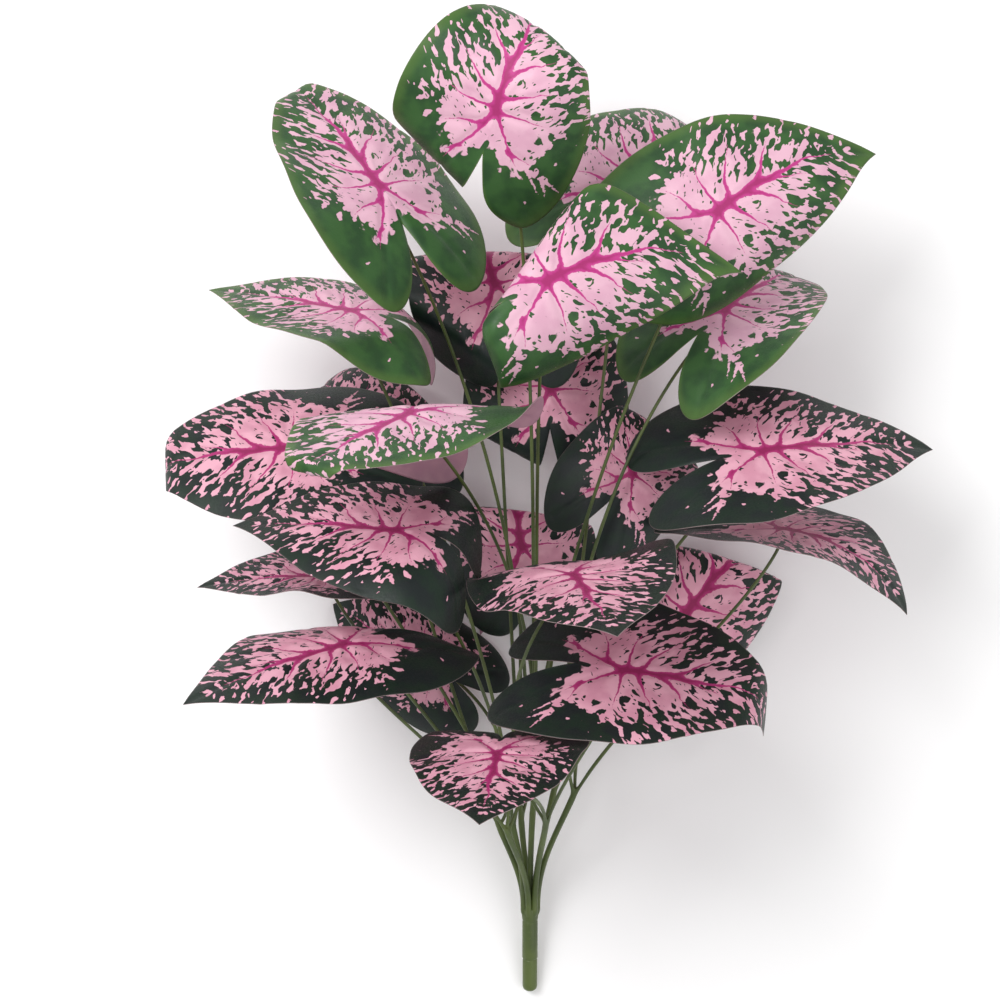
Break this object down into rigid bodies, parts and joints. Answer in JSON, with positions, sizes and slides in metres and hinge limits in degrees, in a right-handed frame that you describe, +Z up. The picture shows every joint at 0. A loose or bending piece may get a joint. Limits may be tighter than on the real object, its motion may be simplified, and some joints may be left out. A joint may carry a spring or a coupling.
{
  "type": "artificial caladium bush",
  "caption": "Bunch of printed cloth leaves on forked plastic stalks that leave a turned handle, lying on its back, ready to stand in a vase or pot.",
  "frame": {"origin": "middle of the footprint, on the surface that the bunch lies on", "axes": "+Z up out of the surface; +Y along the bunch from the handle to the topmost leaves; +X to the right as seen from above with the handle toward the viewer"},
  "size_m": [0.6212, 0.808, 0.41],
  "materials": {
    "stalk": "matt green moulded plastic",
    "leaf_green": "coated cloth printed pink with magenta veins inside a green border",
    "leaf_dark": "coated cloth printed pink with magenta veins inside a dark green border"
  },
  "bodies": {
    "root": {"handle": "stalk", "fork_1": "stalk", "fork_2": "stalk", "fork_3": "stalk", "fork_4": "stalk", "fork_5": "stalk", "fork_6": "stalk", "fork_7": "stalk", "fork_8": "stalk", "leaf_01": "leaf_green", "leaf_02": "leaf_green", "leaf_03": "leaf_green", "leaf_04": "leaf_green", "leaf_05": "leaf_green", "leaf_06": "leaf_green", "leaf_07": "leaf_green", "leaf_08": "leaf_dark", "leaf_09": "leaf_dark", "leaf_10": "leaf_dark", "leaf_11": "leaf_dark", "leaf_12": "leaf_green", "leaf_13": "leaf_dark", "leaf_14": "leaf_dark", "leaf_15": "leaf_dark", "leaf_16": "leaf_dark", "leaf_17": "leaf_dark", "leaf_18": "leaf_dark", "leaf_19": "leaf_dark", "leaf_20": "leaf_dark", "leaf_21": "leaf_dark", "leaf_22": "leaf_dark", "leaf_23": "leaf_dark", "leaf_24": "leaf_dark"}
  },
  "joints": []
}
